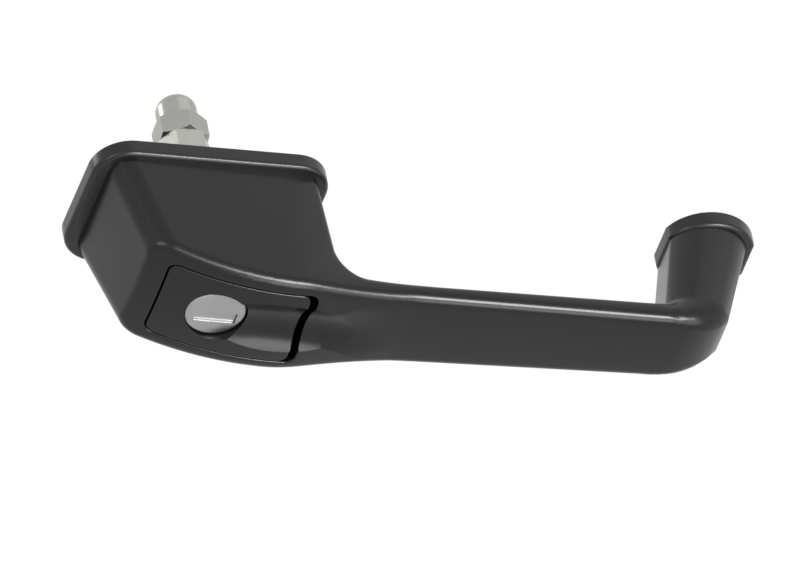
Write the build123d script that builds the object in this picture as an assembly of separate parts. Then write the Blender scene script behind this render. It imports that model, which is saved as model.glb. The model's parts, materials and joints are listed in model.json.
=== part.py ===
from build123d import *
import os
from math import atan, atan2, cos, degrees, radians, sin, sqrt, tan

# Locking push handle. X runs along the handle to its foot, Y goes into the door and Z is up.
# The origin is the middle of the base gasket's back face, on the axis of the lock and plunger.
# Heights in this file are distances out of the door, so a point at height h has Y = -h.

# Gaskets
gasket_thick = 4.5
gasket_lip = 1.2
base_gasket_long = 65.4
base_gasket_wide = 43.5
base_gasket_corner = 10.3
foot_gasket_radius = 13.15
foot_gasket_flats = 23.9
foot_gasket_corner = 1.5
foot_spacing = 141.15

# Base of the handle
base_end_x = -28.65
base_end_lean = 14.8
base_finger_x = 28.4
base_finger_lean = 4.3
base_end_round = 6.5
side_draft = 2.5
width_height = 40.0
base_half_wide = 18.0
neck_half_wide = 13.15

# Front skin: a long crowned arch over the button that runs into a nearly straight grip
crest_x = 19.5
crest_height = 42.95
crest_radius = 83.0
neck_slope = 0.097
grip_slope = 0.0225
neck_end_x = 50.0
neck_radius = 60.0
crown_radius = 150.0
front_round = 3.2
back_round = 2.2
slab_half = 26.0
slab_rise = 24.0
blank_top = 56.0
plan_top = 50.0
plan_start_x = -46.0
plan_start_extra = 0.55
waist_run = 0.03
waist = [(18.0, 0.885), (27.0, 0.66), (37.0, 0.31), (46.0, 0.105), (58.0, 0.0)]

# Grip and elbow
joint_x = 58.0
joint_overlap = 1.0
joint_step = 0.02
joint_run_on = 6.0
flat_bow = 0.02
neck_edge = 5.45
grip_edge = 5.9
grip_end_half_wide = 11.7
finger_blend = 8.5
elbow_inner_radius = 5.0
elbow_outer_radius = 19.0
elbow_steps = 10

# Foot
foot_inner_reach = 11.55
foot_inner_lean = 12.3
foot_outer_reach = 9.65
foot_outer_lean = 15.6
foot_side_radius = 12.1

# Push button
button_left = -15.5
button_right = 22.4
button_half_wide = 12.9
button_corner = 2.6
button_gap = 0.3
button_end_gap = 2.2
button_under = 31.0
button_edge = 0.5
pocket_edge = 0.45
boss_radius = 11.0
boss_end = 19.0
travel = 6.5
travel_spare = 0.5
fit = 0.05
running = 0.3

# Thumb scoop
scoop_low_x = 13.0
scoop_low_height = 39.3
scoop_radius = 13.6
scoop_sweep = 144.0
scoop_swing = 40.0

# Lock
lock_face = 39.1
head_radius = 8.25
head_thick = 1.8
head_edge = 0.9
bore_gap = 0.12
head_gap = 0.2
barrel_rear = 21.0
shoulder_radius = 7.5
shoulder_long = 4.6
plug_radius = 6.5
plug_end = 19.6
tang_side = 3.6
tang_long = 2.2
keyway_x = 0.2
keyway_z = -1.4
slot_long = 11.4
slot_tall = 3.6
slot_depth = 5.0
blade_long = 8.0
blade_tall = 2.0
keyway_end = 22.2
shutter_depth = 0.6
shutter_thick = 0.7
shutter_gap = 0.1
shutter_pivot_drop = 0.5
pivot_radius = 0.35
pivot_seat = 0.4
wafer_count = 5
wafer_first = 31.0
wafer_pitch = 1.9
wafer_thick = 1.0
wafer_slack = 0.1
wafer_long = 9.6
wafer_low = -4.3
wafer_high = 2.7
window_long = 7.0
window_shifts = [0.4, -0.3, 0.2, -0.1, 0.0]
wafer_travel = 2.4
clip_thick = 0.8
clip_outer = 7.3
clip_groove = 5.5
clip_opening = 4.8
ring_thick = 0.9
ring_outer = 9.1
ring_inner = 7.7
ring_opening = 3.2
dog_long = 11.0
dog_wide = 5.4
dog_screw_radius = 1.2
dog_screw_head = 2.3
dog_screw_head_thick = 1.1
dog_screw_reach = 3.4
dog_screw_round = 0.3
dog_screw_slot = 0.55

# Chamber behind the button
chamber_radius = 14.5
chamber_front = 21.0
seat_step = 0.1
collar_outer = 13.8
collar_seat = 10.2
collar_thick = 1.3
button_wire = 1.3
button_coil_radius = 12.5
button_coil_turns = 4.0

# Plunger
flange_radius = 10.8
flange_thick = 1.1
web_thick = 1.6
sleeve_radius = 6.5
sleeve_bore = 5.7
sleeve_depth = 8.6
sleeve_end = -3.0
plunger_wire = 0.9
plunger_coil_radius = 10.2
plunger_coil_turns = 3.0
stud_radius = 4.0
stud_reach = 8.0
stud_end = -25.5
stud_chamfer = 0.8
circlip_thick = 0.9
circlip_outer = 8.2
circlip_groove = 5.9
circlip_gap = 0.15
circlip_opening = 5.2
nut_flats = 13.0
nut_high = 6.5
jam_nut_front = -13.4
cap_nut_front = -20.0
cap_nut_turn = 30.0
jam_nut_turn = 1.0
cap_radius = 5.5
cap_long = 8.5
cap_round = 3.8
nut_chamfer_angle = 30.0

# Plate and bush that close the chamber
plate_long = 31.0
plate_wide = 34.0
plate_thick = 1.5
plate_corner = 2.0
plate_screw_x = 12.2
plate_screw_z = 13.8
plate_screw_radius = 1.5
plate_screw_head = 2.8
plate_screw_long = 8.0
cross_long = 3.6
cross_thin = 0.7
cross_deep = 0.7
bush_radius = 7.8
bush_flange = 8.7
bush_flange_thick = 1.2
bush_end = 3.2

# Mounting bores for the fixing bolts
mount_bore = 2.5
mount_depth = 12.0
mount_chamfer = 0.6
base_bolt_x = 20.5
gasket_hole = 10.2
gasket_bolt_hole = 3.3
foot_bolt_shift = 1.65

# Places along the handle that follow the foot
foot_inner_x = foot_spacing - foot_inner_reach
foot_outer_x = foot_spacing + foot_outer_reach
foot_bolt_x = foot_spacing - foot_bolt_shift

# Heights where pieces meet
barrel_front = lock_face - head_thick - head_gap
dog_rear = plug_end - tang_long
over_crest = crest_height + 3
pocket_floor = button_under - travel - travel_spare
plate_front = gasket_thick + plate_thick
collar_front = chamber_front - seat_step
ring_front = barrel_rear - fit
clip_front = barrel_rear - seat_step
web_front = dog_rear - running
circlip_front = bush_end - circlip_gap
shoulder_floor = lock_face - head_thick - shoulder_long
shutter_height = lock_face - shutter_depth - shutter_thick / 2
shutter_pivot_z = keyway_z + slot_tall / 2 - shutter_pivot_drop


side_plane = Plane(origin=(0, 0, 0), x_dir=(1, 0, 0), z_dir=(0, 0, -1))


def face_plane(height):
    return Plane(origin=(0, -height, 0), x_dir=(1, 0, 0), z_dir=(0, -1, 0))


def rod(radius, low, high, x=0, z=0):
    """A cylinder along Y between two heights."""
    turned = Cylinder(radius, high - low, align=(Align.CENTER, Align.CENTER, Align.MIN))
    return Pos(x, -low, z) * Rot(90, 0, 0) * turned


def block(x_from, x_to, low, high, z_from, z_to):
    """A box between two heights."""
    size = Box(x_to - x_from, high - low, z_to - z_from)
    return Pos((x_from + x_to) / 2, -(low + high) / 2, (z_from + z_to) / 2) * size


def split(opening, front, outer):
    """The cut that opens a snap ring on its lower side."""
    return block(-opening / 2, opening / 2, front - outer, front + outer, -2 * outer, 0)


def rounded_block(x_from, x_to, low, high, half_wide, corner):
    outline = Pos((x_from + x_to) / 2, 0) * RectangleRounded(x_to - x_from, 2 * half_wide, corner)
    return extrude(face_plane(low) * outline, high - low)


def crown_drop(half):
    return crown_radius - sqrt(crown_radius**2 - half**2)


def crest(x):
    """Height of the arch over the button."""
    return crest_height - crest_radius + sqrt(crest_radius**2 - (x - crest_x) ** 2)


# The front line in the plane Z = 0: arch, straight neck, hollow blend, straight grip
arch_start_x = -34.0
arch_end_x = crest_x + crest_radius * sin(atan(neck_slope))
neck_end_height = crest(arch_end_x) - neck_slope * (neck_end_x - arch_end_x)
blend_end_x = neck_end_x + neck_radius * (sin(atan(neck_slope)) - sin(atan(grip_slope)))
blend_end_height = neck_end_height - neck_radius * (cos(atan(grip_slope)) - cos(atan(neck_slope)))


def grip_height(x):
    return blend_end_height - grip_slope * (x - blend_end_x)


def front_line():
    middle_x = (neck_end_x + blend_end_x) / 2
    middle_slope = (neck_slope + grip_slope) / 2
    centre_height = neck_end_height + neck_radius * cos(atan(neck_slope))
    middle_height = centre_height - neck_radius * cos(atan(middle_slope))
    arch = ThreePointArc(
        (arch_start_x, crest(arch_start_x)), (0, crest(0)), (arch_end_x, crest(arch_end_x))
    )
    neck = Line(arch @ 1, (neck_end_x, neck_end_height))
    hollow = ThreePointArc(
        (neck_end_x, neck_end_height), (middle_x, middle_height), (blend_end_x, blend_end_height)
    )
    grip = Line(hollow @ 1, (joint_x + joint_run_on, grip_height(joint_x + joint_run_on)))
    return Wire([arch, neck, hollow, grip])


def over_front():
    """What lies out past the crowned front skin: a slab swept along the front line."""
    drop = crown_drop(slab_half)
    crown = ThreePointArc((-slab_half, -drop), (0, 0), (slab_half, -drop))
    sides = Polyline(
        (slab_half, -drop), (slab_half, slab_rise), (-slab_half, slab_rise), (-slab_half, -drop)
    )
    section = make_face([crown, sides])
    path = side_plane * front_line()
    return sweep(Plane(origin=path @ 0, x_dir=(0, 0, 1), z_dir=path % 0) * section, path)


def plan_face(height):
    """Front view of base and neck: straight flanks that draw in to the neck in an S-curve."""
    widen = (width_height - height) * tan(radians(side_draft))
    extra = base_half_wide - neck_half_wide
    upper = [(x, neck_half_wide + extra * share + widen) for x, share in waist]
    lower = [(x, -z) for x, z in upper]
    start = (plan_start_x, base_half_wide + plan_start_extra + widen)
    low_start = (start[0], -start[1])
    side = Line(start, upper[0])
    low_side = Line(low_start, lower[0])
    curve = Spline(*upper, tangents=[side % 1, (1, -waist_run)])
    low_curve = Spline(*lower, tangents=[low_side % 1, (1, waist_run)])
    ends = [Line(start, low_start), Line(upper[-1], lower[-1])]
    return face_plane(height) * make_face([side, curve, low_side, low_curve, *ends])


def side_block():
    """Side view of base, finger side and neck, left open towards the front."""
    end_run = tan(radians(base_end_lean))
    finger_run = tan(radians(base_finger_lean))
    back_at_joint = grip_height(joint_x) - crown_drop(neck_half_wide) - neck_edge
    back_left = back_at_joint + grip_slope * (joint_x - base_finger_x)
    finger_top_x = base_finger_x + (back_left - gasket_thick) * finger_run
    outline = Polyline(
        (base_end_x, gasket_thick),
        (base_end_x + (blank_top - gasket_thick) * end_run, blank_top),
        (joint_x, blank_top),
        (joint_x, back_at_joint),
        (finger_top_x, back_left),
        (base_finger_x, gasket_thick),
        close=True,
    )
    profile = make_face(outline)
    hollow_corner = profile.vertices().sort_by_distance((finger_top_x, back_left, 0))[0]
    profile = fillet(hollow_corner, finger_blend)
    return extrude(side_plane * profile, slab_half, both=True)


def base_and_neck():
    plan = loft([plan_face(gasket_thick), plan_face(plan_top)], ruled=True)
    solid = ((plan & side_block()) - over_front()).solid()
    leaning = [
        edge
        for edge in solid.edges()
        if edge.center().X < -20 and abs(edge.center().Z) > 15 and abs((edge % 0.5).Y) > 0.8
    ]
    solid = solid.fillet(base_end_round, leaning)
    skins = [face for face in solid.faces() if face.normal_at().Y < -0.8 and face.center().Y < -30]
    shared = ShapeList(skins).edges()
    rim = [
        edge
        for edge in shared
        if edge.center().X < joint_x - 0.01
        and abs(edge.center().Z) + edge.length > 1
        and not (abs(edge.center().Z) < 0.1 and edge.center().X > 0)
    ]
    solid = solid.fillet(front_round, rim)
    finger_side = [
        edge
        for edge in solid.edges()
        if 26 < edge.center().X < joint_x - 0.01
        and -edge.center().Y < grip_height(joint_x) - 4.0
        and abs(edge.center().Z) > 10
        and edge.center().Y < -gasket_thick - 0.01
    ]
    return solid.fillet(back_round, finger_side)


def grip_section(x, height, turn, depth, half_front, half_middle, half_back, crown):
    """One closed section of the grip, elbow or foot, standing square to its run."""
    front_corner = (half_front, depth - crown)
    other_front = (-half_front, depth - crown)
    front = ThreePointArc(other_front, (0, depth), front_corner)
    side = ThreePointArc(front_corner, (half_middle, depth / 2), (half_back, 0))
    back = ThreePointArc((half_back, 0), (0, -flat_bow), (-half_back, 0))
    other_side = ThreePointArc((-half_back, 0), (-half_middle, depth / 2), other_front)
    face = make_face([front, side, back, other_side])
    face = fillet([corner for corner in face.vertices() if corner.Y > depth / 2], front_round)
    face = fillet([corner for corner in face.vertices() if corner.Y < depth / 4], back_round)
    along = (cos(radians(turn)), sin(radians(turn)), 0)
    return Plane(origin=(x, -height, 0), x_dir=(0, 0, 1), z_dir=along) * in_order(face, depth)


def in_order(face, depth):
    """The outline as arcs that start at the front and go round the same way in every section."""

    def bearing(point):
        return degrees(atan2(point.X, point.Y - depth / 2)) % 360

    arcs = []
    for edge in sorted(face.edges(), key=lambda edge: (bearing(edge @ 0.5) + 1) % 360):
        middle = edge @ 0.5
        ends = sorted(
            (edge @ 0, edge @ 1),
            key=lambda point: (bearing(point) - bearing(middle) + 180) % 360,
        )
        arcs.append(ThreePointArc(ends[0], middle, ends[1]))
    return Wire(arcs)


def foot_inner(height):
    return foot_inner_x - tan(radians(foot_inner_lean)) * (height - gasket_thick)


def foot_outer(height):
    return foot_outer_x - tan(radians(foot_outer_lean)) * (height - gasket_thick)


def elbow_centre():
    """Middle of the elbow's inner round, tangent to the grip's back and the foot's inner side."""
    height = grip_height(foot_inner_x) - grip_edge - crown_drop(grip_end_half_wide)
    height -= elbow_inner_radius
    return foot_inner(height) - elbow_inner_radius / cos(radians(foot_inner_lean)), height


def elbow_outer_centre():
    """Middle of the elbow's outer round, tangent to the grip's front and the foot's outer side."""
    lean = tan(radians(foot_outer_lean))
    front_offset = elbow_outer_radius * sqrt(1 + grip_slope**2)
    side_offset = elbow_outer_radius * sqrt(1 + lean**2)
    height = grip_height(foot_outer(0) - side_offset) - front_offset
    height /= 1 - grip_slope * lean
    return foot_outer(height) - side_offset, height


def elbow_reach(turn):
    """Distance from the inner centre to the outer skin, along a ray at this turn."""
    x, height = elbow_centre()
    round_x, round_height = elbow_outer_centre()
    right = sin(radians(turn))
    out = cos(radians(turn))
    dx = round_x - x
    dh = round_height - height
    along = dx * right + dh * out
    to_round = along + sqrt(along**2 + elbow_outer_radius**2 - dx**2 - dh**2)
    if x + to_round * right < round_x + elbow_outer_radius * sin(atan(grip_slope)):
        return (grip_height(x) - height) / (out + grip_slope * right)
    if height + to_round * out < round_height + elbow_outer_radius * sin(radians(foot_outer_lean)):
        return (foot_outer(height) - x) / (right + tan(radians(foot_outer_lean)) * out)
    return to_round


def flank(height):
    """Half width of the neck's end at a height, with its draft."""
    return neck_half_wide + (width_height - height) * tan(radians(side_draft))


def neck_section():
    x = joint_x - joint_overlap
    crown = crown_drop(neck_half_wide)
    back = grip_height(joint_x) - crown - neck_edge + grip_slope * joint_overlap + joint_step
    depth = grip_height(x) - back - joint_step
    front = flank(back + depth - crown) - joint_step
    rear = flank(back) - joint_step
    return grip_section(x, back, 0, depth, front, (front + rear) / 2 + flat_bow, rear, crown)


def elbow_section(turn, foot_corner):
    """The elbow's corners close in from the flat grip to the round-sided foot."""
    x, height = elbow_centre()
    ease = 0.5 + 0.5 * cos(radians(180 * turn / (90 - foot_inner_lean)))
    corner = foot_corner + (grip_end_half_wide - foot_corner) * ease
    crown = flat_bow + (crown_drop(grip_end_half_wide) - flat_bow) * ease
    x += elbow_inner_radius * sin(radians(turn))
    height += elbow_inner_radius * cos(radians(turn))
    depth = elbow_reach(turn) - elbow_inner_radius
    return grip_section(x, height, turn, depth, corner, foot_side_radius, corner, crown)


def foot_section(height):
    depth = foot_outer(height) - foot_inner(height)
    corner = sqrt(foot_side_radius**2 - (depth / 2) ** 2)
    return grip_section(
        foot_inner(height), height, 90, depth, corner, foot_side_radius, corner, flat_bow
    )


def grip_and_foot():
    half_depth = (foot_outer(gasket_thick) - foot_inner(gasket_thick)) / 2
    foot_corner = sqrt(foot_side_radius**2 - half_depth**2)
    last_turn = 90 - foot_inner_lean
    turns = [last_turn * step / elbow_steps for step in range(elbow_steps + 1)]
    elbow = [elbow_section(turn, foot_corner) for turn in turns]
    return Solid.make_loft([neck_section(), *elbow, foot_section(gasket_thick)], ruled=True)


def scoop():
    """Thumb scoop: a round channel whose floor is one long hollow arc."""
    centre_height = scoop_low_height + scoop_radius
    profile = Plane(origin=(scoop_low_x, -centre_height, 0), x_dir=(0, 1, 0), z_dir=(1, 0, 0))
    pivot = Axis((scoop_low_x, -scoop_low_height - scoop_sweep, 0), (0, 0, 1))
    swing = revolve(profile * Circle(scoop_radius), pivot, scoop_swing)
    return swing.rotate(pivot, -scoop_swing / 2)


def button_blank(grow, low, end_gap):
    """The button's outline between a height and the front, grown by a clearance."""
    x_from = button_left - grow
    x_to = button_right + end_gap
    half = button_half_wide + grow
    return rounded_block(x_from, x_to, low, over_crest, half, button_corner + grow)


def skin_edges(solid, x_from, x_to):
    """Edges where the walls of the pocket or button meet the crowned front."""
    found = ShapeList()
    for face in solid.faces():
        normal = face.normal_at()
        if normal.Y < -0.8 and -face.center().Y > grip_height(joint_x) - 1.0:
            found += face.edges()
    return [edge for edge in found if x_from < edge.center().X < x_to]


def handle():
    solid = base_and_neck() + grip_and_foot()
    solid -= button_blank(button_gap, pocket_floor, button_end_gap)
    rim = skin_edges(solid, button_left - 1, button_right + button_end_gap + 1)
    rim_half = button_half_wide + button_gap + fit
    solid = solid.fillet(pocket_edge, [edge for edge in rim if abs(edge.center().Z) < rim_half])
    solid -= rod(boss_radius + fit, chamber_front - 1, pocket_floor + 1)
    solid -= rod(chamber_radius, 0, chamber_front)
    solid -= rounded_block(
        -plate_long / 2 - fit,
        plate_long / 2 + fit,
        0,
        gasket_thick + plate_thick,
        plate_wide / 2 + fit,
        plate_corner,
    )
    for x, z in plate_screw_places():
        solid -= rod(plate_screw_radius, 0, gasket_thick + plate_screw_long + 1, x, z)
    for x in bolt_places():
        solid -= rod(mount_bore, 0, gasket_thick + mount_depth, x)
        solid -= mount_mouth(x)
    return solid - scoop()


def mount_mouth(x):
    wide = mount_bore + mount_chamfer
    cone = Cone(wide, mount_bore, mount_chamfer, align=(Align.CENTER, Align.CENTER, Align.MIN))
    return Pos(x, -gasket_thick, 0) * Rot(90, 0, 0) * cone


def bolt_places():
    return (-base_bolt_x, base_bolt_x, foot_bolt_x)


def plate_screw_places():
    rows = (-plate_screw_z, plate_screw_z)
    return [(x, z) for x in (-plate_screw_x, plate_screw_x) for z in rows]


def base_gasket():
    outline = RectangleRounded(base_gasket_long, base_gasket_wide, base_gasket_corner)
    pad = extrude(face_plane(0) * outline, gasket_thick)
    front = pad.edges().group_by(Axis.Y)[0]
    pad = fillet(front, gasket_lip)
    pad -= rod(gasket_hole, -1, gasket_thick + 1)
    for x in (-base_bolt_x, base_bolt_x):
        pad -= rod(gasket_bolt_hole, -1, gasket_thick + 1, x)
    return pad


def foot_gasket():
    outline = Circle(foot_gasket_radius) & Rectangle(foot_gasket_flats, 3 * foot_gasket_radius)
    outline = fillet(outline.vertices(), foot_gasket_corner)
    pad = extrude(face_plane(0) * Pos(foot_spacing, 0) * outline, gasket_thick)
    pad = fillet(pad.edges().group_by(Axis.Y)[0], gasket_lip)
    return pad - rod(gasket_bolt_hole, -1, gasket_thick + 1, foot_bolt_x)


def push_button():
    solid = button_blank(0, button_under, 0) - over_front()
    solid = solid.solid().fillet(button_edge, skin_edges(solid, button_left - 1, button_right + 1))
    solid += rod(boss_radius, boss_end, button_under + 1)
    solid -= rod(head_radius + bore_gap, boss_end - 1, over_crest)
    groove = rod(boss_radius + 1, collar_front - collar_thick, collar_front)
    solid -= groove - rod(collar_seat, collar_front - collar_thick, collar_front)
    solid -= rod(ring_outer + fit, ring_front - ring_thick, ring_front)
    return solid - scoop()


def stop_collar():
    ring = rod(collar_outer, collar_front - collar_thick, collar_front)
    return ring - rod(collar_seat + fit, collar_front - collar_thick - 1, collar_front + 1)


def lock_barrel():
    solid = rod(head_radius + bore_gap - fit, barrel_rear, barrel_front)
    solid -= rod(plug_radius + fit, barrel_rear - 1, barrel_front + 1)
    solid -= rod(shoulder_radius + fit, shoulder_floor - fit, barrel_front + 1)
    reach = wafer_long / 2 + wafer_travel
    low = wafer_heights()[-1] - wafer_thick
    high = wafer_heights()[0] + wafer_thick
    return solid - block(-reach, reach, low, high, wafer_low - wafer_slack, wafer_high + wafer_slack)


def barrel_ring():
    solid = rod(ring_outer, ring_front - ring_thick, ring_front)
    solid -= rod(ring_inner, ring_front - ring_thick - 1, ring_front + 1)
    return solid - split(ring_opening, ring_front, ring_outer)


def wafer_heights():
    return [wafer_first - wafer_pitch * number for number in range(wafer_count)]


def lock_plug():
    solid = rod(head_radius, lock_face - head_thick, lock_face)
    solid = fillet(solid.edges().group_by(Axis.Y)[0], head_edge)
    solid += rod(shoulder_radius, shoulder_floor, lock_face - head_thick)
    solid += rod(plug_radius, plug_end, shoulder_floor)
    solid += block(-tang_side / 2, tang_side / 2, dog_rear, plug_end, -tang_side / 2, tang_side / 2)
    half = slot_long / 2
    solid -= block(
        keyway_x - half,
        keyway_x + half,
        lock_face - slot_depth,
        lock_face + 1,
        keyway_z - slot_tall / 2,
        keyway_z + slot_tall / 2,
    )
    pivot = Pos(keyway_x, -shutter_height, shutter_pivot_z) * Rot(0, 90, 0)
    solid -= pivot * Cylinder(pivot_radius + fit, slot_long + 2 * pivot_seat + 2 * fit)
    solid -= block(
        keyway_x - blade_long / 2,
        keyway_x + blade_long / 2,
        keyway_end,
        lock_face,
        keyway_z - blade_tall / 2,
        keyway_z + blade_tall / 2,
    )
    for height in wafer_heights():
        low = height - wafer_thick / 2 - wafer_slack
        high = height + wafer_thick / 2 + wafer_slack
        solid -= block(
            -2 * plug_radius, 2 * plug_radius, low, high, wafer_low - fit, wafer_high + fit
        )
    solid -= rod(2 * plug_radius, clip_front - clip_thick, clip_front) - rod(
        clip_groove, clip_front - clip_thick, clip_front
    )
    return solid - rod(dog_screw_radius, dog_rear - 1, dog_rear + dog_screw_reach)


def key_shutter():
    low = keyway_z - slot_tall / 2 + shutter_gap
    half = slot_long / 2 - shutter_gap
    flap = block(
        keyway_x - half,
        keyway_x + half,
        shutter_height - shutter_thick / 2,
        shutter_height + shutter_thick / 2,
        low,
        shutter_pivot_z,
    )
    pivot = Pos(keyway_x, -shutter_height, shutter_pivot_z) * Rot(0, 90, 0)
    return flap + pivot * Cylinder(pivot_radius, slot_long + 2 * pivot_seat)


def wafer(number):
    """A flat wafer with a window for the key's blade, each window set over by its own amount."""
    height = wafer_heights()[number]
    shift = window_shifts[number]
    low = height - wafer_thick / 2
    high = height + wafer_thick / 2
    plate = block(-wafer_long / 2, wafer_long / 2, low, high, wafer_low, wafer_high)
    half = window_long / 2
    return plate - block(
        shift - half,
        shift + half,
        low - 1,
        high + 1,
        keyway_z - blade_tall / 2,
        keyway_z + blade_tall / 2,
    )


def plug_clip():
    solid = rod(clip_outer, clip_front - clip_thick, clip_front)
    solid -= rod(clip_groove + fit, clip_front - clip_thick - 1, clip_front + 1)
    return solid - split(clip_opening, clip_front, clip_outer)


def drive_dog():
    solid = rod(dog_long / 2, dog_rear, plug_end)
    solid &= block(-dog_wide / 2, dog_wide / 2, 0, plug_end, -dog_long, dog_long)
    half = tang_side / 2 + fit
    return solid - block(-half, half, 0, barrel_front, -half, half)


def dog_screw():
    solid = rod(dog_screw_head, dog_rear - dog_screw_head_thick, dog_rear)
    solid = fillet(solid.edges().group_by(Axis.Y)[-1], dog_screw_round)
    solid += rod(dog_screw_radius - fit, dog_rear, dog_rear + dog_screw_reach - running)
    slot_floor = dog_rear - dog_screw_head_thick + dog_screw_slot
    half = dog_screw_slot / 2
    return solid - block(-half, half, 0, slot_floor, -2 * dog_screw_head, 2 * dog_screw_head)


def coil(radius, wire, turns, low, high):
    """A compression spring between two heights, its wire just clear of both seats."""
    rise = high - low - wire - 2 * fit
    path = Helix(rise / turns, rise, radius)
    wire_end = Plane(origin=path @ 0, z_dir=path % 0) * Circle(wire / 2)
    spring = sweep(wire_end, path, is_frenet=True)
    return Pos(0, -low - wire / 2 - fit, 0) * Rot(90, 0, 0) * spring


def plunger():
    solid = rod(flange_radius, web_front - flange_thick, web_front)
    solid += rod(sleeve_radius, sleeve_end, web_front)
    solid -= rod(sleeve_bore, sleeve_depth, web_front - web_thick)
    half_long = dog_long / 2 + running
    half_wide = dog_wide / 2 + running
    low = web_front - web_thick - 1
    solid -= block(-half_long, half_long, low, web_front + 1, -half_wide, half_wide)
    solid -= rod(stud_radius, sleeve_end - 1, sleeve_end + stud_reach)
    groove = rod(sleeve_radius + 1, circlip_front - circlip_thick, circlip_front)
    return solid - (groove - rod(circlip_groove, circlip_front - circlip_thick, circlip_front))


def plunger_circlip():
    solid = rod(circlip_outer, circlip_front - circlip_thick, circlip_front)
    solid -= rod(circlip_groove + fit, circlip_front - circlip_thick - 1, circlip_front + 1)
    return solid - split(circlip_opening, circlip_front, circlip_outer)


def plunger_stud():
    solid = rod(stud_radius, stud_end, sleeve_end + stud_reach)
    return chamfer(solid.edges().group_by(Axis.Y)[-1], stud_chamfer)


def hexagon(front, turn):
    """A nut blank with both faces chamfered round, its front face at the given height."""
    outline = RegularPolygon(nut_flats / 2, 6, major_radius=False, rotation=turn)
    blank = extrude(face_plane(front - nut_high) * outline, nut_high)
    corner = nut_flats / sqrt(3)
    cut = (corner - nut_flats / 2) * tan(radians(nut_chamfer_angle))
    profile = Polyline(
        (0, 0),
        (nut_flats / 2, 0),
        (corner, cut),
        (corner, nut_high - cut),
        (nut_flats / 2, nut_high),
        (0, nut_high),
        close=True,
    )
    sketch = Plane(origin=(0, -front, 0), x_dir=(1, 0, 0), z_dir=(0, 0, 1)) * make_face(profile)
    return blank & revolve(sketch, Axis.Y)


def jam_nut():
    return hexagon(jam_nut_front, jam_nut_turn) - rod(stud_radius, stud_end, 0)


def cap_nut():
    hex_back = cap_nut_front - nut_high
    cap = rod(cap_radius, hex_back - cap_long, hex_back + 1)
    cap = fillet(cap.edges().group_by(Axis.Y)[-1], cap_round)
    return hexagon(cap_nut_front, cap_nut_turn) + cap - rod(stud_radius, stud_end, 0)


def guide_plate():
    outline = RectangleRounded(plate_long, plate_wide, plate_corner)
    solid = extrude(face_plane(gasket_thick) * outline, plate_thick)
    solid -= rod(bush_radius + fit, 0, gasket_thick + plate_thick + 1)
    for x, z in plate_screw_places():
        solid -= rod(plate_screw_radius + fit, 0, gasket_thick + plate_thick + 1, x, z)
        solid -= screw_cone(x, z)
    return solid


def screw_cone(x, z):
    rise = plate_screw_head - plate_screw_radius
    base_up = (Align.CENTER, Align.CENTER, Align.MIN)
    cone = Cone(plate_screw_head, plate_screw_radius, rise, align=base_up)
    return Pos(x, -gasket_thick, z) * Rot(90, 0, 0) * cone


def plate_screws():
    screws = []
    for x, z in plate_screw_places():
        shank = rod(plate_screw_radius - fit, gasket_thick, gasket_thick + plate_screw_long, x, z)
        screw = screw_cone(x, z) + shank
        long = cross_long / 2
        thin = cross_thin / 2
        floor = gasket_thick + cross_deep
        screw -= block(x - long, x + long, 0, floor, z - thin, z + thin)
        screw -= block(x - thin, x + thin, 0, floor, z - long, z + long)
        screws.append(screw.solid())
    return Compound(children=screws)


def guide_bush():
    solid = rod(bush_radius, bush_end, plate_front)
    solid += rod(bush_flange, plate_front, plate_front + bush_flange_thick)
    return solid - rod(sleeve_radius + fit, 0, plate_front + bush_flange_thick + 1)


nodes = {
    "handle_body": handle(),
    "base_gasket": base_gasket(),
    "foot_gasket": foot_gasket(),
    "guide_plate": guide_plate(),
    "guide_bush": guide_bush(),
    "plate_screws": plate_screws(),
    "push_button": push_button(),
    "stop_collar": stop_collar(),
    "button_spring": coil(
        button_coil_radius,
        button_wire,
        button_coil_turns,
        plate_front,
        collar_front - collar_thick,
    ),
    "lock_barrel": lock_barrel(),
    "barrel_ring": barrel_ring(),
    "lock_plug": lock_plug(),
    "key_shutter": key_shutter(),
    "plug_clip": plug_clip(),
    "drive_dog": drive_dog(),
    "dog_screw": dog_screw(),
    "plunger": plunger(),
    "plunger_spring": coil(
        plunger_coil_radius,
        plunger_wire,
        plunger_coil_turns,
        plate_front,
        web_front - flange_thick,
    ),
    "plunger_circlip": plunger_circlip(),
    "plunger_stud": plunger_stud(),
    "jam_nut": jam_nut(),
    "cap_nut": cap_nut(),
}
for number in range(wafer_count):
    nodes[f"wafer_{number + 1}"] = wafer(number)

os.makedirs("parts", exist_ok=True)
for name, solid in nodes.items():
    export_step(solid, f"parts/{name}.step")
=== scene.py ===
import json
import math

import bpy
from mathutils import Matrix, Vector

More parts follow.
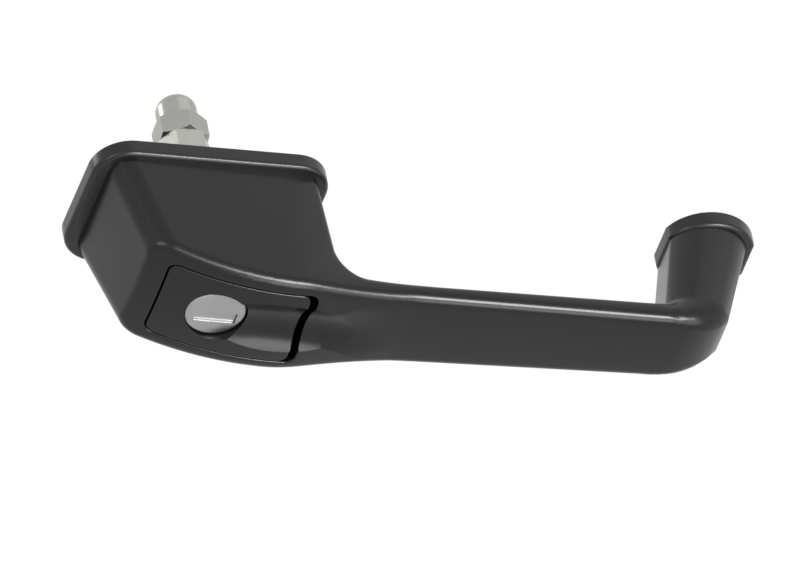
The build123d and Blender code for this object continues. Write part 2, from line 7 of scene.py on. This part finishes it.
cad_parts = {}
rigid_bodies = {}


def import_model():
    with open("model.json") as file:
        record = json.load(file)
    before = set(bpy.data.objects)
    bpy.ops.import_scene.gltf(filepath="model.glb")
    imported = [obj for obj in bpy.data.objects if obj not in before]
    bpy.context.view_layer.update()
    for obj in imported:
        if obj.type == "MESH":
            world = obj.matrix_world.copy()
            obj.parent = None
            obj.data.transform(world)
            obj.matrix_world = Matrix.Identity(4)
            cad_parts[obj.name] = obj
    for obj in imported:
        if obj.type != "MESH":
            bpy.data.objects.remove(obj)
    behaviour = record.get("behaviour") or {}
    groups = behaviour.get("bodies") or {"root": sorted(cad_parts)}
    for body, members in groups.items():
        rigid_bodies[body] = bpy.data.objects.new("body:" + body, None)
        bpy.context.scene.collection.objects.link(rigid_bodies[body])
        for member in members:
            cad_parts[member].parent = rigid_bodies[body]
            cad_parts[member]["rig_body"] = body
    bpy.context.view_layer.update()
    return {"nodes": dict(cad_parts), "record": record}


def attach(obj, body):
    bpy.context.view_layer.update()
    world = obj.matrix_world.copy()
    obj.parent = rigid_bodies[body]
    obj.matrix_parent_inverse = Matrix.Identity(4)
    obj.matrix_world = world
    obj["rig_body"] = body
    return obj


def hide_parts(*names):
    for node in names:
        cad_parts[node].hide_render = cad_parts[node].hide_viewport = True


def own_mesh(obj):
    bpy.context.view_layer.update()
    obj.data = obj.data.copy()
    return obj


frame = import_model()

MM = 0.001

# Camera: square to the picture, at the angle of the photograph
picture_right = Vector((0.9460, -0.1500, 0.2872))
picture_up = Vector((-0.0803, 0.7501, 0.6564))
camera_side = Vector((-0.3139, -0.6440, 0.6976))
picture_centre_right = 0.05495
picture_centre_up = -0.02313
picture_width = 0.21167
camera_distance = 1.2
camera_near = 0.01
camera_far = 20.0

# Studio: a plain floor that is shown white, and a faint light from all round
floor_height = -0.24
floor_half = 3.0
floor_grey = 0.9
floor_shown_white = 0.95
light_all_round = 0.10
white = 1.0

# Thread of the plunger's stud, in mm: its ends, radii and pitch, and where its flanks begin and
# end as shares of the pitch
stud_low = -5.0
stud_high = 25.5
stud_crest = 3.98
stud_root = 3.3
stud_pitch = 1.25
root_ends = 0.25
crest_begins = 0.56
crest_ends = 0.69
thread_steps = 48

# Turns of thread swept beyond the stud's ends, which are then cut square
turns_below = 2
turns_spare = 3

# Points of a mesh that lie closer together than this are one point
merge_solid = 1e-7
merge_thread = 1e-6


def deselect_all():
    for piece in bpy.context.selected_objects:
        piece.select_set(False)


def make_active(piece):
    deselect_all()
    piece.select_set(True)
    bpy.context.view_layer.objects.active = piece


def merge_points(distance):
    """Merges the active piece's points that lie closer together than the distance."""
    bpy.ops.object.mode_set(mode="EDIT")
    bpy.ops.mesh.select_all(action="SELECT")
    bpy.ops.mesh.remove_doubles(threshold=distance)
    bpy.ops.object.mode_set(mode="OBJECT")


class Value:
    """A socket of a finish, on which sums are written as on numbers."""

    def __init__(self, finish, socket):
        self.finish = finish
        self.socket = socket

    def sum_with(self, operation, other):
        return self.finish.node("ShaderNodeMath", {"operation": operation}, {0: self, 1: other})

    def __add__(self, other):
        return self.sum_with("ADD", other)

    def __mul__(self, other):
        return self.sum_with("MULTIPLY", other)

    __radd__ = __add__
    __rmul__ = __mul__


class Finish:
    """The nodes of a material or of the world."""

    def __init__(self, owner):
        owner.use_nodes = True
        self.owner = owner
        self.tree = owner.node_tree
        self.tree.nodes.clear()

    def node(self, kind, settings=None, sockets=None, output=0):
        made = self.tree.nodes.new(kind)
        for key, setting in (settings or {}).items():
            setattr(made, key, setting)
        for key, value in (sockets or {}).items():
            if isinstance(value, Value):
                self.tree.links.new(value.socket, made.inputs[key])
            else:
                made.inputs[key].default_value = value
        return Value(self, made.outputs[output]) if made.outputs else None

    def blend(self, share, first, second):
        """A colour between two colours."""
        return self.node(
            "ShaderNodeMix", {"data_type": "RGBA"}, {0: share, 6: first, 7: second}, output=2
        )

    def noise(self, scale, detail=2.0, roughness=0.5):
        sockets = {
            "Vector": self.node("ShaderNodeTexCoord", output="Object"),
            "Scale": scale,
            "Detail": detail,
            "Roughness": roughness,
        }
        return self.node("ShaderNodeTexNoise", {}, sockets)

    def bump(self, height, strength, distance):
        sockets = {"Height": height, "Strength": strength, "Distance": distance}
        return self.node("ShaderNodeBump", {}, sockets)

    def shown(self):
        """1 for a ray from the camera, or one that glass or a gloss sends on, and 0 for light."""
        return (
            self.node("ShaderNodeLightPath", output="Is Camera Ray")
            + self.node("ShaderNodeLightPath", output="Is Transmission Ray")
            + self.node("ShaderNodeLightPath", output="Is Glossy Ray")
        )

    def finish(self, shader, output="ShaderNodeOutputMaterial"):
        self.node(output, {}, {"Surface": shader})
        return self.owner


def colour(red, green, blue):
    return (red, green, blue, 1.0)


def grey(level):
    return colour(level, level, level)


def grained(name, low, high, drift_scale, grain_scale, relief, gloss, skin):
    """A skin whose colour and gloss drift a little, with a fine grain.

    relief is the strength and depth of the grain, gloss the lowest roughness and its drift, and
    skin the shader's other sockets.
    """
    finish = Finish(bpy.data.materials.new(name))
    drift = finish.noise(drift_scale, detail=3.0)
    grain = finish.noise(grain_scale, detail=2.0, roughness=0.6)
    strength, depth = relief
    lowest, change = gloss
    sockets = {
        "Base Color": finish.blend(drift, low, high),
        "Roughness": lowest + drift * change,
        "Normal": finish.bump(grain, strength, depth),
    }
    return finish.finish(finish.node("ShaderNodeBsdfPrincipled", {}, sockets | skin))


def satin_black():
    """Smooth black powder coat: a fine even grain and slightly uneven gloss."""
    return grained(
        "satin_black_powder_coat",
        low=colour(0.0028, 0.0030, 0.0029),
        high=colour(0.0044, 0.0046, 0.0045),
        drift_scale=60.0,
        grain_scale=2600.0,
        relief=(0.04, 0.0001),
        gloss=(0.235, 0.03),
        skin={"Specular IOR Level": 0.335},
    )


def moulded_rubber():
    """Moulded black rubber with a soft sheen."""
    return grained(
        "moulded_black_rubber",
        low=colour(0.0075, 0.0078, 0.0076),
        high=colour(0.0105, 0.0108, 0.0106),
        drift_scale=90.0,
        grain_scale=3200.0,
        relief=(0.06, 0.0001),
        gloss=(0.25, 0.04),
        skin={"Specular IOR Level": 0.34},
    )


def bright_metal(name, low, high, roughness, grain_scale=1500.0):
    """A plated or bare metal."""
    return grained(
        name,
        low=low,
        high=high,
        drift_scale=220.0,
        grain_scale=grain_scale,
        relief=(0.05, 0.00005),
        gloss=(roughness, 0.06),
        skin={"Metallic": 1.0},
    )


def bush_plastic():
    """Dark moulded plastic of the guide bush."""
    finish = Finish(bpy.data.materials.new("dark_bush_plastic"))
    grain = finish.noise(1800.0, detail=3.0)
    low = colour(0.030, 0.030, 0.032)
    high = colour(0.042, 0.042, 0.044)
    sockets = {"Base Color": finish.blend(grain, low, high), "Roughness": 0.45 + grain * 0.1}
    return finish.finish(finish.node("ShaderNodeBsdfPrincipled", {}, sockets))


finishes = {
    "black_cast": satin_black(),
    "black_rubber": moulded_rubber(),
    "zinc_plate": bright_metal(
        "bright_zinc_plate", colour(0.40, 0.41, 0.42), grey(0.46), roughness=0.34
    ),
    "bush_plastic": bush_plastic(),
    "screw_steel": bright_metal("zinc_plated_screw", grey(0.38), grey(0.45), roughness=0.32),
    "spring_steel": bright_metal("drawn_spring_steel", grey(0.34), grey(0.42), roughness=0.28),
    "lock_zinc": bright_metal("cast_lock_zinc", grey(0.38), grey(0.44), roughness=0.38),
    "lock_face": bright_metal(
        "satin_nickel_lock_face",
        colour(0.330, 0.330, 0.328),
        colour(0.360, 0.360, 0.357),
        roughness=0.34,
        grain_scale=2200.0,
    ),
    "wafer_brass": bright_metal(
        "stamped_brass", colour(0.50, 0.36, 0.17), colour(0.60, 0.45, 0.22), roughness=0.32
    ),
    "nut_steel": bright_metal(
        "plated_nut_steel",
        colour(0.320, 0.324, 0.300),
        colour(0.380, 0.384, 0.357),
        roughness=0.25,
        grain_scale=1800.0,
    ),
}

slot_of_node = {row["node"]: row["material_slot"] for row in frame["record"]["subparts"]}
for name, node in frame["nodes"].items():
    node.data.materials.clear()
    node.data.materials.append(finishes[slot_of_node[name]])


def from_node(node_name, piece_name, sharp_angle):
    """A merged copy of a solid's mesh, smooth across its facets and crisp at its edges."""
    node = frame["nodes"][node_name]
    piece = bpy.data.objects.new(piece_name, node.data.copy())
    bpy.context.scene.collection.objects.link(piece)
    make_active(piece)
    merge_points(merge_solid)
    if piece.data.has_custom_normals:
        bpy.ops.mesh.customdata_custom_splitnormals_clear()
    bpy.ops.object.shade_smooth_by_angle(angle=math.radians(sharp_angle))
    weighted = piece.modifiers.new("even_normals", "WEIGHTED_NORMAL")
    weighted.keep_sharp = True
    weighted.mode = "CORNER_ANGLE"
    bpy.ops.object.modifier_apply(modifier=weighted.name)
    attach(piece, node["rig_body"])
    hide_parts(node_name)
    return piece


# Each solid that shows, its piece, and the angle in degrees above which an edge stays crisp
for node_name, piece_name, sharp_angle in (
    ("handle_body", "handle_casting", 32),
    ("push_button", "button_cap", 32),
    ("base_gasket", "base_seal", 40),
    ("foot_gasket", "foot_seal", 40),
    ("lock_plug", "lock_face_and_plug", 32),
    ("jam_nut", "lock_nut", 28),
    ("cap_nut", "domed_nut", 28),
    ("plunger", "plunger_sleeve", 32),
    ("guide_plate", "chamber_plate", 32),
    ("guide_bush", "sleeve_bush", 32),
    ("plate_screws", "countersunk_screws", 32),
    ("lock_barrel", "barrel_of_lock", 32),
    ("key_shutter", "dust_flap", 32),
    ("plunger_circlip", "sleeve_circlip", 32),
):
    from_node(node_name, piece_name, sharp_angle)

# The springs get merged, smooth copies, each with a mesh of its own
for node_name, piece_name in (("button_spring", "button_coil"), ("plunger_spring", "plunger_coil")):
    coil = from_node(node_name, piece_name, sharp_angle=60)
    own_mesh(coil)


def helix(piece_name, profile, pitch, turns):
    """A profile of (radius, place) points carried round the Y axis as a screw thread."""
    deselect_all()
    bpy.ops.mesh.primitive_circle_add(vertices=len(profile), radius=profile[0][0] * MM)
    piece = bpy.context.object
    piece.name = piece_name
    for vertex, (radius, place) in zip(piece.data.vertices, profile):
        vertex.co = (radius * MM, place * MM, 0)
    sweep = piece.modifiers.new("thread_sweep", "SCREW")
    sweep.axis = "Y"
    sweep.angle = math.tau
    sweep.screw_offset = pitch * MM
    sweep.iterations = turns
    sweep.steps = thread_steps
    sweep.render_steps = thread_steps
    bpy.ops.object.modifier_apply(modifier=sweep.name)
    merge_points(merge_thread)
    return piece


def cut_square(place, **kept):
    """Cuts the piece being edited square to the Y axis, and closes the cut."""
    bpy.ops.mesh.select_all(action="SELECT")
    bpy.ops.mesh.bisect(plane_co=(0, place * MM, 0), plane_no=(0, 1, 0), use_fill=True, **kept)


def outwards(piece, sharp_angle):
    """Closes any hole, turns the faces outwards and smooths all but the sharp edges."""
    make_active(piece)
    bpy.ops.object.mode_set(mode="EDIT")
    bpy.ops.mesh.select_all(action="SELECT")
    bpy.ops.mesh.fill_holes(sides=0)
    bpy.ops.mesh.select_all(action="SELECT")
    bpy.ops.mesh.normals_make_consistent(inside=False)
    bpy.ops.object.mode_set(mode="OBJECT")
    bpy.ops.object.shade_smooth_by_angle(angle=math.radians(sharp_angle))


def threaded_stud():
    """The plunger's stud with its real M8 thread, cut square at both ends."""
    first = stud_low - turns_below * stud_pitch
    turns = math.ceil((stud_high - stud_low) / stud_pitch) + turns_spare
    profile = [
        (stud_root, first),
        (stud_root, first + root_ends * stud_pitch),
        (stud_crest, first + crest_begins * stud_pitch),
        (stud_crest, first + crest_ends * stud_pitch),
        (stud_root, first + stud_pitch),
    ]
    piece = helix("threaded_stud", profile, stud_pitch, turns)
    bpy.ops.object.mode_set(mode="EDIT")
    cut_square(stud_low, clear_inner=True)
    cut_square(stud_high, clear_outer=True)
    bpy.ops.object.mode_set(mode="OBJECT")
    outwards(piece, sharp_angle=30)
    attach(piece, "plunger")
    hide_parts("plunger_stud")
    piece.data.materials.append(finishes["screw_steel"])


threaded_stud()

# Camera
camera_data = bpy.data.cameras.new("picture_camera")
camera_data.type = "ORTHO"
camera_data.ortho_scale = picture_width
camera_data.clip_start = camera_near
camera_data.clip_end = camera_far
camera = bpy.data.objects.new("picture_camera", camera_data)
bpy.context.scene.collection.objects.link(camera)
picture_centre = picture_right * picture_centre_right + picture_up * picture_centre_up
turn = Matrix((picture_right, picture_up, camera_side)).transposed()
place = Matrix.Translation(picture_centre + camera_side * camera_distance)
camera.matrix_world = place @ turn.to_4x4()
bpy.context.scene.camera = camera


def sun(name, towards, strength, spread):
    """A lamp far away in the given direction, as wide as its spread in degrees."""
    lamp = bpy.data.lights.new(name, "SUN")
    lamp.energy = strength
    lamp.angle = math.radians(spread)
    holder = bpy.data.objects.new(name, lamp)
    holder.rotation_mode = "QUATERNION"
    holder.rotation_quaternion = Vector(towards).to_track_quat("Z", "Y")
    bpy.context.scene.collection.objects.link(holder)


# Four lamps in a row along the handle make one long soft light: name, turn along the row in
# degrees, strength and spread
key_side = Vector((0.311, -0.611, 0.728))
key_along = Vector((0.950, 0.200, -0.238))
for name, turn_along, strength, spread in (
    ("key_lamp_far_left", -24, 0.35, 18),
    ("key_lamp_left", -10, 0.9, 16),
    ("key_lamp_middle", 2, 2.1, 16),
    ("key_lamp_right", 17, 0.75, 15),
):
    angle = math.radians(turn_along)
    sun(name, key_side * math.cos(angle) + key_along * math.sin(angle), strength, spread)

# Lamps for the scoop, the elbow, the base's left corner, and the upper faces
for name, towards, strength, spread in (
    ("front_lamp", (0.26, -0.90, 0.32), 0.95, 25),
    ("front_lamp_right", (0.68, -0.67, 0.30), 0.35, 20),
    ("left_lamp", (-0.78, -0.12, 0.56), 0.7, 30),
    ("back_lamp", (0.42, 0.64, 0.64), 0.17, 52),
):
    sun(name, towards, strength, spread)

# A small lamp low behind the plunger gives its nuts their bright spots
nut_lamp = bpy.data.lights.new("nut_lamp", "POINT")
nut_lamp.energy = 0.8
nut_lamp.shadow_soft_size = 0.05
holder = bpy.data.objects.new("nut_lamp", nut_lamp)
holder.location = (-0.272, 0.284, -0.120)
holder.visible_camera = False
bpy.context.scene.collection.objects.link(holder)

# World: white where it shows, and faint as a light
world = bpy.data.worlds.new("studio")
bpy.context.scene.world = world
sky = Finish(world)
dim = sky.node("ShaderNodeBackground", {}, {"Color": grey(white), "Strength": light_all_round})
bright = sky.node("ShaderNodeBackground", {}, {"Color": grey(white), "Strength": white})
both = sky.node("ShaderNodeMixShader", {}, {0: sky.shown(), 1: dim, 2: bright})
sky.finish(both, output="ShaderNodeOutputWorld")

# Floor: nearly white where it shows, with a trace of the object's shadow
paving = Finish(bpy.data.materials.new("pale_floor"))
matt = paving.node("ShaderNodeBsdfDiffuse", {}, {"Color": grey(floor_grey)})
glow = paving.node("ShaderNodeEmission", {}, {"Color": grey(white), "Strength": white})
share = paving.shown() * floor_shown_white
mixed = paving.node("ShaderNodeMixShader", {}, {0: share, 1: matt, 2: glow})
deselect_all()
bpy.ops.mesh.primitive_plane_add(size=2 * floor_half, location=(0, 0, floor_height))
floor = bpy.context.object
floor.name = "studio_floor"
floor.data.materials.append(paving.finish(mixed))

bpy.context.scene.view_settings.view_transform = "Standard"
